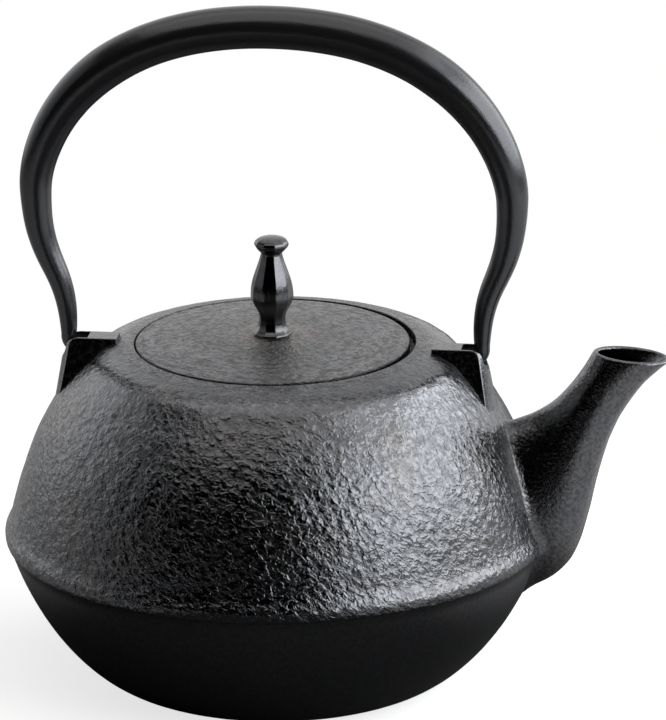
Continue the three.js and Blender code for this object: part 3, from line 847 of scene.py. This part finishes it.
def makeBarTree():
    # A line swept with its own radius, then dented a little by the hammer
    tree = bpy.data.node_groups.new("forgedBar", "GeometryNodeTree")
    names = {}
    for label, kind in (("Geometry", "Geometry"), ("Bar Sides", "Int"), ("Hammer Depth", "Float"),
                        ("Hammer Size", "Float"), ("Seed", "Float"), ("Finish", "Material")):
        socket = tree.interface.new_socket(label, in_out="INPUT", socket_type="NodeSocket" + kind)
        names[label] = socket.identifier
    tree.interface.new_socket("Geometry", in_out="OUTPUT", socket_type="NodeSocketGeometry")
    given = tree.nodes.new("NodeGroupInput").outputs
    line = addNode(tree, "GeometryNodeMeshToCurve", {"Mesh": given["Geometry"]}).outputs["Curve"]
    size = addNode(tree, "GeometryNodeInputNamedAttribute", {"Name": "barRadius"}, data_type="FLOAT")
    circle = addNode(tree, "GeometryNodeCurvePrimitiveCircle", {
        "Resolution": given["Bar Sides"], "Radius": 1.0})
    bar = addNode(tree, "GeometryNodeCurveToMesh", {
        "Curve": line, "Profile Curve": circle.outputs["Curve"], "Scale": size.outputs["Attribute"],
        "Fill Caps": True}).outputs["Mesh"]
    position = tree.nodes.new("GeometryNodeInputPosition").outputs["Position"]
    normal = tree.nodes.new("GeometryNodeInputNormal").outputs["Normal"]
    dents = addNode(tree, "ShaderNodeTexNoise", {
        "Vector": position, "W": given["Seed"], "Scale": calc(tree, "DIVIDE", 1.0, given["Hammer Size"]),
        "Detail": 1.0}, noise_dimensions="4D").outputs["Fac"]
    deep = calc(tree, "MULTIPLY", calc(tree, "SUBTRACT", dents, 0.5), given["Hammer Depth"])
    push = addNode(tree, "ShaderNodeVectorMath", {0: normal, "Scale": deep}, operation="SCALE").outputs[0]
    bar = addNode(tree, "GeometryNodeSetPosition", {"Geometry": bar, "Offset": push}).outputs[0]
    bar = addNode(tree, "GeometryNodeSetShadeSmooth", {"Geometry": bar}).outputs[0]
    bar = addNode(tree, "GeometryNodeRealizeInstances", {"Geometry": bar}).outputs[0]
    bar = addNode(tree, "GeometryNodeSetMaterial", {"Geometry": bar, "Material": given["Finish"]}).outputs[0]
    tree.links.new(bar, tree.nodes.new("NodeGroupOutput").inputs["Geometry"])
    return tree, names


def makeHandle():
    points, radius = handleLine()
    mesh = bpy.data.meshes.new("handleLine")
    edges = [(i, i + 1) for i in range(len(points) - 1)]
    mesh.from_pydata([tuple(point * mm) for point in points], edges, [])
    size = mesh.attributes.new("barRadius", "FLOAT", "POINT")
    size.data.foreach_set("value", (radius * mm).astype(np.float32))
    piece = bpy.data.objects.new("bailHandle", mesh)
    bpy.context.scene.collection.objects.link(piece)
    tree, names = makeBarTree()
    bar = piece.modifiers.new("forgedBar", "NODES")
    bar.node_group = tree
    bar[names["Bar Sides"]] = handle["barSides"]
    bar[names["Hammer Depth"]] = handle["hammer"] * mm
    bar[names["Hammer Size"]] = handle["hammerSize"] * mm
    bar[names["Seed"]] = handle["seed"]
    bar[names["Finish"]] = handleIron
    freeze(piece)
    finishPiece(piece, "handle", "handle")
    return piece


def makeHandleIron():
    finish = handle["finish"]
    material, tree, shader = newMaterial("handleIron")
    place = objectPlace(tree)
    cast = useGroup(tree, sandCast, place=place, **finish["skin"])

    # Brush marks run along the bar, which lies in the XZ plane round the middle of the arch
    parts = separate(tree, objectPlace(tree, (0, 0, finish["archMiddle"])))
    out = vectorCalc(tree, "LENGTH", combine(tree, parts[0], 0.0, parts[2]), "Value")
    angle = calc(tree, "ARCTAN2", parts[2], parts[0])
    along = combine(tree, out, parts[1], calc(tree, "MULTIPLY", angle, finish["brushTurns"]))
    brushed = noiseTexture(tree, along, **finish["brush"])
    height = calc(tree, "MULTIPLY_ADD", brushed, finish["brushHeight"], cast["height"])
    coat = useGroup(tree, blackCoat, place=place, hollow=0.0, **finish["coat"])
    finishIron(tree, shader, finish, coat["colour"], coat["rough"], height)
    return material


handleIron = makeHandleIron()
bailHandle = makeHandle()
print("handle made", len(bailHandle.data.polygons))


# Lid

lid = {
    "shift": (-0.75, -0.35), "radius": 45.5, "bottom": 111.8, "rim": 3.4, "crown": 2.3,
    "thickness": 3, "edgeRound": 0.8, "edgeRun": 6, "skirtRadius": 39.35, "skirtWall": 2.4, "skirtDepth": 6,
    "rootRound": 1.2, "skirtRound": 0.7, "seatRound": 0.8, "underRound": 0.5,
    "rivetHole": 2.4, "sides": 480, "swell": 0.09, "swellSize": 8.0, "swellAbove": 1,
    "finish": {
        "metal": 1.0,
        "skin": {"lumpSize": 1.6, "lumpHeight": 0.34, "grainSize": 0.35, "grainHeight": 0.04,
                 "pitDepth": 0.0},
        "coat": {"shade": (0.2, 0.203, 0.212, 1), "bloom": (0.21, 0.19, 0.172, 1), "bloomAmount": 0.4,
                 "rough": 0.24, "patchSize": 18.0},
        "brush": {"scale": 1.0, "detail": 4.0, "roughness": 0.65}, "brushWobble": 3.0,
        "brushHeight": 0.16, "brushRough": 0.12,
        "streakEdge": (0.35, 0.65), "streaked": 0.5, "streak": (0.09, 0.09, 0.095, 1),
        "wrinkle": 1.1, "wrinkleWobble": 4.0, "wrinkleTurns": 16.0,
        "wrinkles": {"scale": 0.6, "detail": 3.5, "roughness": 0.6, "distortion": 0.7},
        "creaseShadeEdge": (0.38, 0.55), "creaseShade": 0.8,
        "wornEdge": (23, 9), "wornShare": 0.5, "worn": (0.22, 0.19, 0.165, 1),
        "shadeBandFrom": (11, 18), "shadeBandTo": (20, 29), "shadeBand": 0.5,
        "sideShadeEdge": (44.9, 45.4),
    },
}


def lidTopAt(radius):
    top = lid["bottom"] + lid["rim"] + lid["crown"]
    return top - lid["crown"] * (radius / lid["radius"]) ** 2


def makeLid():
    hole, radius, bottom = lid["rivetHole"], lid["radius"], lid["bottom"]
    skirt, low = lid["skirtRadius"], lid["bottom"] - lid["skirtDepth"]
    inside, crownFrom = skirt - lid["skirtWall"], radius - lid["edgeRun"]
    under = np.array([[r, lidTopAt(r) - lid["thickness"]] for r in np.linspace(hole, inside, 14)])
    rim = roundedPath([under[-2], under[-1], (inside, low), (skirt, low), (skirt, bottom), (radius, bottom),
                       (radius, lidTopAt(radius)), (crownFrom, lidTopAt(crownFrom))],
                      [0, lid["rootRound"], lid["skirtRound"], lid["skirtRound"], lid["seatRound"],
                       lid["underRound"], lid["edgeRound"], 0], 5)
    crown = np.array([[r, lidTopAt(r)] for r in np.linspace(crownFrom, hole, 40)])
    profile = joinLines(under[:-1], rim[1:], crown)

    def shape(radius, height, angles):
        # Only the crown and the rim are uneven, and the seat is true
        x, y = radius * np.sin(angles), -radius * np.cos(angles)
        upper = (profile[:, 1] > bottom + lid["swellAbove"])[:, None]
        return radius, height + castNoise(x, y, height, lid["swellSize"]) * lid["swell"] * upper

    piece = turned("dropLid", profile, lid["sides"], [lidIron], shape, lid["shift"])
    outwards(piece)
    finishPiece(piece, "lid", "lid")
    return piece


def makeLidIron():
    finish = lid["finish"]
    material, tree, shader = newMaterial("lidIron")
    place = objectPlace(tree, (*lid["shift"], 0))
    ring = useGroup(tree, ringPlace, place=place, wobble=finish["brushWobble"])
    cast = useGroup(tree, sandCast, place=place, **finish["skin"])
    brushed = noiseTexture(tree, ring["round"], **finish["brush"])
    longRing = useGroup(tree, ringPlace, place=place, wobble=finish["wrinkleWobble"],
                        turns=finish["wrinkleTurns"])
    wrinkles = noiseTexture(tree, longRing["round"], **finish["wrinkles"])
    height = calc(tree, "MULTIPLY_ADD", brushed, finish["brushHeight"], cast["height"])
    height = calc(tree, "MULTIPLY_ADD", wrinkles, finish["wrinkle"], height)
    coat = useGroup(tree, blackCoat, place=place, hollow=cast["hollow"], **finish["coat"])

    # Hands wear the middle brown, painted shade makes a darker band round it, and painted shade makes the
    # side down in the seat black
    streaked = span(tree, brushed, *finish["streakEdge"], 0.0, finish["streaked"])
    colour = blendColour(tree, streaked, coat["colour"], finish["streak"])
    handled = span(tree, ring["radius"], *finish["wornEdge"], 0.0, finish["wornShare"])
    colour = blendColour(tree, handled, colour, finish["worn"])
    # Painted shade: a darker band round the knob, in the streak colour
    shadeBandMask = calc(tree, "MULTIPLY", span(tree, ring["radius"], *finish["shadeBandFrom"]),
                  span(tree, ring["radius"], *finish["shadeBandTo"], 1.0, 0.0))
    colour = blendColour(tree, calc(tree, "MULTIPLY", shadeBandMask, finish["shadeBand"]), colour, finish["streak"])
    # Painted shade: the creases of the lid's wrinkles are darkened in colour
    creaseShade = span(tree, wrinkles, *finish["creaseShadeEdge"], finish["creaseShade"], 0.0)
    colour = blendColour(tree, creaseShade, colour, body["finish"]["paintedCreaseShade"])
    # Painted shade: the lid's side, down in the seat, is darkened to near black
    trueRing = useGroup(tree, ringPlace, place=place, wobble=0.0)
    sideShade = span(tree, trueRing["radius"], *finish["sideShadeEdge"])
    colour = blendColour(tree, sideShade, colour, body["finish"]["paintedGapShade"])
    rough = calc(tree, "MULTIPLY_ADD", brushed, finish["brushRough"], coat["rough"])
    finishIron(tree, shader, finish, colour, rough, height)
    return material


lidIron = makeLidIron()
dropLid = makeLid()
print("lid made", len(dropLid.data.polygons))


# Knob, rivet and washer

knob = {
    "foot": 117.8, "facets": 10, "turn": 19.5, "sidesPerFacet": 14,
    "cornerRound": 0.12, "cornerEase": 0.004, "cornerWidth": 0.006,
    "rings": [(6.6, 0.8), (4.4, 5.6), (7.2, 13.3), (3.5, 28.0), (5.8, 31.0)],
    "footSlope": 150, "neckSlope": 104, "flareSlope": 58, "capSlope": 76, "ease": 0.4, "height": 33.6,
    "boreRadius": 2.3, "boreDepth": 11.3, "boreRounds": [0, 0.2, 0.3, 0.35, 0],
    "roundWithin": 0.4, "roundBelow": 20,
    "finish": {
        "metal": 1.0,
        "skin": {"lumpSize": 0.7, "lumpHeight": 0.03, "grainSize": 0.3, "grainHeight": 0.015,
                 "pitDepth": 0.02},
        "coat": {"shade": (0.115, 0.118, 0.125, 1), "bloom": (0.125, 0.117, 0.112, 1), "rough": 0.15,
                 "patchSize": 6.0},
        "waistFrom": (120.0, 121.5), "waistTo": (124, 131),
        "waistShade": 0.8, "paintedWaistShade": (0.035, 0.035, 0.037, 1),
    },
}


def makeKnob():
    foot, waist, belly, neck, cap = (np.array(ring) for ring in knob["rings"])
    hole, deep = knob["boreRadius"], knob["boreDepth"]

    def between(a, aSlope, b, bSlope, steps):
        reach = (b[1] - a[1]) * knob["ease"]
        return slopedCurve(a, aSlope, reach, b, bSlope, reach, steps)

    bore = roundedPath([(0, deep), (hole, deep), (hole, 0), (foot[0], 0), foot], knob["boreRounds"], 3)
    top = bentCurve(cap, (cap[0], knob["height"]), (0, knob["height"]), 12)
    line = joinLines(bore, between(foot, knob["footSlope"], waist, 90, 16), between(waist, 90, belly, 90, 20),
                     between(belly, 90, neck, knob["neckSlope"], 28),
                     between(neck, knob["flareSlope"], cap, knob["capSlope"], 14), top)
    line[:, 1] += knob["foot"]
    facet = 2 * math.pi / knob["facets"]

    def shape(radius, height, angles):
        # Flat sides with soft corners; the bore stays round
        off = np.mod(angles - math.radians(knob["turn"]), facet) - facet / 2
        flat = math.cos(facet / 2) / np.cos(off)
        corner = 1 - knob["cornerRound"] * (1 - math.cos(facet / 2))
        eased = knob["cornerEase"] * np.exp(-((flat - corner) / knob["cornerWidth"]) ** 2)
        share = np.minimum(flat, corner) - eased
        inBore = (radius <= hole + knob["roundWithin"]) & (height <= knob["foot"] + knob["roundBelow"])
        return radius * np.where(inBore, 1, share), height

    sides = knob["facets"] * knob["sidesPerFacet"]
    piece = turned("tenSidedKnob", line, sides, [knobIron], shape, lid["shift"])
    outwards(piece)
    finishPiece(piece, "knob", "knob")
    return piece


def makeKnobIron():
    finish = knob["finish"]
    material, tree, shader = newMaterial("knobIron")
    place = objectPlace(tree, (*lid["shift"], 0))
    cast = useGroup(tree, sandCast, place=place, **finish["skin"])
    coat = useGroup(tree, blackCoat, place=place, hollow=0.0, **finish["coat"])

    # Painted shade darkens the waist, fading out towards the foot and the belly; the belly and the cap keep
    # the coat's colour
    rise = separate(tree, place)[2]
    waist = calc(tree, "MULTIPLY", span(tree, rise, *finish["waistFrom"]),
                 span(tree, rise, *finish["waistTo"], 1.0, 0.0))
    waistShade = calc(tree, "MULTIPLY", waist, finish["waistShade"])
    colour = blendColour(tree, waistShade, coat["colour"], finish["paintedWaistShade"])
    finishIron(tree, shader, finish, colour, coat["rough"], cast["height"])
    return material


fixings = {
    "washerTop": 114.15, "washerRadius": 6.5, "washerThickness": 1.2, "washerRound": 0.25, "hole": 2.4,
    "rivetRadius": 2.0, "rivetTop": 128.8, "headRadius": 4.0, "headTop": 112.65, "headHeight": 1.6,
    "headEdge": 1.6, "rivetRounds": [0, 0.8, 0.5, 0.3, 0.2, 0.4, 0], "sides": 72,
    "finish": {
        "metal": 0.9,
        "coat": {"shade": (0.2, 0.2, 0.21, 1), "bloom": (0.16, 0.1, 0.07, 1), "bloomAmount": 0.5,
                 "rough": 0.42, "patchSize": 3.0},
        "brush": {"scale": 3.0, "detail": 3.0, "roughness": 0.6}, "brushWobble": 0.5,
        "brushHeight": 0.02, "brushRough": 0.15,
    },
}


def makeRivet():
    low, top = fixings["headTop"] - fixings["headHeight"], fixings["headTop"]
    head, shank = fixings["headRadius"], fixings["rivetRadius"]
    line = roundedPath([(0, low), (head - fixings["headEdge"], low), (head, low + fixings["headHeight"] / 2),
                        (head, top), (shank, top), (shank, fixings["rivetTop"]), (0, fixings["rivetTop"])],
                       fixings["rivetRounds"], 5)
    piece = turned("knobRivet", line, fixings["sides"], [rivetSteel], shift=lid["shift"])
    outwards(piece)
    finishPiece(piece, "knob", "knob_rivet")
    return piece


def makeWasher():
    top, low = fixings["washerTop"], fixings["washerTop"] - fixings["washerThickness"]
    wide, hole, radius = fixings["washerRadius"], fixings["hole"], fixings["washerRound"]
    corners = [(hole, low), (wide, low), (wide, top), (hole, top)]
    line = np.vstack([roundedCorner(corners[i - 1], corners[i], corners[(i + 1) % 4], radius, 4)
                      for i in range(4)])
    piece = turned("knobWasher", line, fixings["sides"], [rivetSteel], shift=lid["shift"])
    outwards(piece)
    finishPiece(piece, "knob", "knob_washer")
    return piece


def makeRivetSteel():
    finish = fixings["finish"]
    material, tree, shader = newMaterial("rivetSteel")
    place = objectPlace(tree, (*lid["shift"], 0))
    ring = useGroup(tree, ringPlace, place=place, wobble=finish["brushWobble"])
    brushed = noiseTexture(tree, ring["round"], **finish["brush"])
    coat = useGroup(tree, blackCoat, place=place, hollow=0.0, **finish["coat"])
    rough = calc(tree, "MULTIPLY_ADD", brushed, finish["brushRough"], coat["rough"])
    height = calc(tree, "MULTIPLY", brushed, finish["brushHeight"])
    finishIron(tree, shader, finish, coat["colour"], rough, height)
    return material


knobIron = makeKnobIron()
rivetSteel = makeRivetSteel()
tenSidedKnob = makeKnob()
knobRivet = makeRivet()
knobWasher = makeWasher()
print("knob, rivet and washer made")


# Floor, world, lamps and camera

floor = {
    "radius": 1.2, "steps": 24, "sides": 96, "crowding": 1.5,
    "colour": (0.5, 0.5, 0.5, 1), "rough": 0.9, "shine": 0.1, "lift": 0.74,
    "fadeFrom": 0.16, "fadeTo": 0.42,
    "clearFrom": 0.09, "clearTo": 0.17, "under": (0.05, 0.05, 0.05, 1), "around": (0.6, 0.6, 0.6, 1),
}


def makeFloorFinish():
    # The camera sees a pale floor that fades to white, and mirrors see painted shadow on it, dark under the
    # object
    material, tree, shader = newMaterial("paleFloor")
    output = next(node for node in tree.nodes if node.type == "OUTPUT_MATERIAL")
    place = tree.nodes.new("ShaderNodeTexCoord").outputs["Object"]
    shader.inputs["Base Color"].default_value = floor["colour"]
    shader.inputs["Roughness"].default_value = floor["rough"]
    shader.inputs["Specular IOR Level"].default_value = floor["shine"]
    lift = addNode(tree, "ShaderNodeEmission", {"Strength": floor["lift"]}).outputs[0]
    lit = addNode(tree, "ShaderNodeAddShader", {0: shader.outputs["BSDF"], 1: lift}).outputs[0]
    white = addNode(tree, "ShaderNodeEmission", {"Strength": 1.0}).outputs[0]
    away = span(tree, vectorCalc(tree, "LENGTH", place, "Value"), floor["fadeFrom"], floor["fadeTo"])
    sideways = calc(tree, "ABSOLUTE", separate(tree, place)[0])
    clear = span(tree, sideways, floor["clearFrom"], floor["clearTo"])
    # Painted shadow: in mirrors the floor is dark near the object and paler out to the sides
    colour = blendColour(tree, clear, floor["under"], floor["around"])
    mirrored = addNode(tree, "ShaderNodeBsdfDiffuse", {"Color": colour}).outputs[0]
    path = tree.nodes.new("ShaderNodeLightPath").outputs
    final = blendShader(tree, path["Is Camera Ray"], mirrored, blendShader(tree, away, lit, white))
    tree.links.new(final, output.inputs["Surface"])
    return material


def makeFloor():
    sides, steps = floor["sides"], floor["steps"]
    vertices, faces = [(0, 0, 0)], [(0, 1 + i, 1 + (i + 1) % sides) for i in range(sides)]
    for step in range(1, steps + 1):
        radius = floor["radius"] * (step / steps) ** floor["crowding"]
        for i in range(sides):
            angle = 2 * math.pi * i / sides
            vertices.append((radius * math.cos(angle), radius * math.sin(angle), 0))
    for a in range(1, 1 + (steps - 1) * sides, sides):
        for i in range(sides):
            j = (i + 1) % sides
            faces.append((a + i, a + sides + i, a + sides + j, a + j))
    newObject("floor", vertices, faces, [makeFloorFinish()])


view = {
    "elevation": 18.1, "azimuth": 8.0, "roll": 0.0105, "distance": 3.0, "lens": 453.0, "sensor": 36,
    "width": 666, "height": 720, "millimetresPerPixel": 0.3311, "seatPixel": (275.0, 341.3),
}


def makeCamera():
    azimuth, elevation = math.radians(view["azimuth"]), math.radians(view["elevation"])
    right = Vector((math.cos(azimuth), math.sin(azimuth), 0))
    up = Vector((-math.sin(azimuth) * math.sin(elevation), math.cos(azimuth) * math.sin(elevation),
                 math.cos(elevation)))
    back = right.cross(up)
    across = right * math.cos(view["roll"]) - up * math.sin(view["roll"])
    above = right * math.sin(view["roll"]) + up * math.cos(view["roll"])

    # The middle of the seat's rim lands on its pixel of the photograph
    size = view["millimetresPerPixel"] * mm
    target = Vector((0, 0, body["height"] * mm))
    target += across * (view["width"] / 2 - view["seatPixel"][0]) * size
    target -= above * (view["height"] / 2 - view["seatPixel"][1]) * size
    camera = bpy.data.cameras.new("camera")
    camera.lens = view["lens"]
    camera.sensor_width = view["sensor"]
    camera.clip_start, camera.clip_end = 0.1, 20
    holder = bpy.data.objects.new("camera", camera)
    place = Matrix((across, above, back)).transposed().to_4x4()
    place.translation = target + back * view["distance"]
    holder.matrix_world = place
    bpy.context.scene.collection.objects.link(holder)
    bpy.context.scene.camera = holder


surround = {"white": (1, 1, 1, 1), "ambient": (0.05, 0.051, 0.054, 1), "backFrom": -0.1, "backTo": 0.75}


def makeWorld():
    # White to the camera and through glass, dim on the object, and in mirrors white only at the back
    world = bpy.data.worlds.new("studio")
    bpy.context.scene.world = world
    world.use_nodes = True
    tree = world.node_tree
    tree.nodes.clear()
    angle = math.radians(view["azimuth"])
    toBack = addNode(tree, "ShaderNodeVectorMath", {
        0: tree.nodes.new("ShaderNodeTexCoord").outputs["Generated"],
        1: (-math.sin(angle), math.cos(angle), 0)}, operation="DOT_PRODUCT").outputs["Value"]
    share = span(tree, toBack, surround["backFrom"], surround["backTo"])
    white = surround["white"]
    ambient = addNode(tree, "ShaderNodeBackground", {"Color": surround["ambient"]}).outputs[0]
    mirrored = addNode(tree, "ShaderNodeBackground", {"Color": white, "Strength": share}).outputs[0]
    shown = addNode(tree, "ShaderNodeBackground", {"Color": white}).outputs[0]
    path = tree.nodes.new("ShaderNodeLightPath").outputs
    straightOn = calc(tree, "MAXIMUM", path["Is Camera Ray"], path["Is Transmission Ray"])
    light = blendShader(tree, path["Is Glossy Ray"], ambient, mirrored)
    output = tree.nodes.new("ShaderNodeOutputWorld")
    tree.links.new(blendShader(tree, straightOn, light, shown), output.inputs["Surface"])


lamps = [
    {"name": "keyPanel", "azimuth": 88, "elevation": 22, "distance": 0.9, "width": 1.8, "height": 0.62,
     "radiance": 2.7, "colour": (0.97, 0.985, 1.0)},
    {"name": "glowPanel", "azimuth": 90, "elevation": 33, "distance": 0.93, "width": 1.8, "height": 0.95,
     "radiance": 1.5, "colour": (0.97, 0.985, 1.0)},
    {"name": "topPanel", "azimuth": 8, "elevation": 82, "distance": 0.9, "width": 1.3, "height": 1.0,
     "radiance": 1.0, "colour": (1.0, 0.965, 0.93)},
    {"name": "fillPanel", "azimuth": -100, "elevation": 20, "distance": 0.95, "width": 1.3, "height": 0.7,
     "radiance": 0.38, "colour": (1.0, 1.0, 1.0)},
]
lampsAimAt = Vector((0, 0, 0.1))


def makeLamps():
    for given in lamps:
        azimuth, elevation = math.radians(given["azimuth"]), math.radians(given["elevation"])
        towards = Vector((math.sin(azimuth) * math.cos(elevation), -math.cos(azimuth) * math.cos(elevation),
                          math.sin(elevation)))
        light = bpy.data.lights.new(given["name"], "AREA")
        light.shape = "RECTANGLE"
        light.size, light.size_y = given["width"], given["height"]
        light.energy = given["radiance"] * math.pi * given["width"] * given["height"]
        light.color = given["colour"]
        lamp = bpy.data.objects.new(given["name"], light)
        lamp.location = lampsAimAt + towards * given["distance"]
        lamp.rotation_euler = towards.to_track_quat("Z", "Y").to_euler()
        lamp.visible_camera = False
        bpy.context.scene.collection.objects.link(lamp)


makeFloor()
makeWorld()
makeLamps()
makeCamera()
bpy.context.scene.view_settings.view_transform = "Standard"
print("floor, world, lamps and camera made")
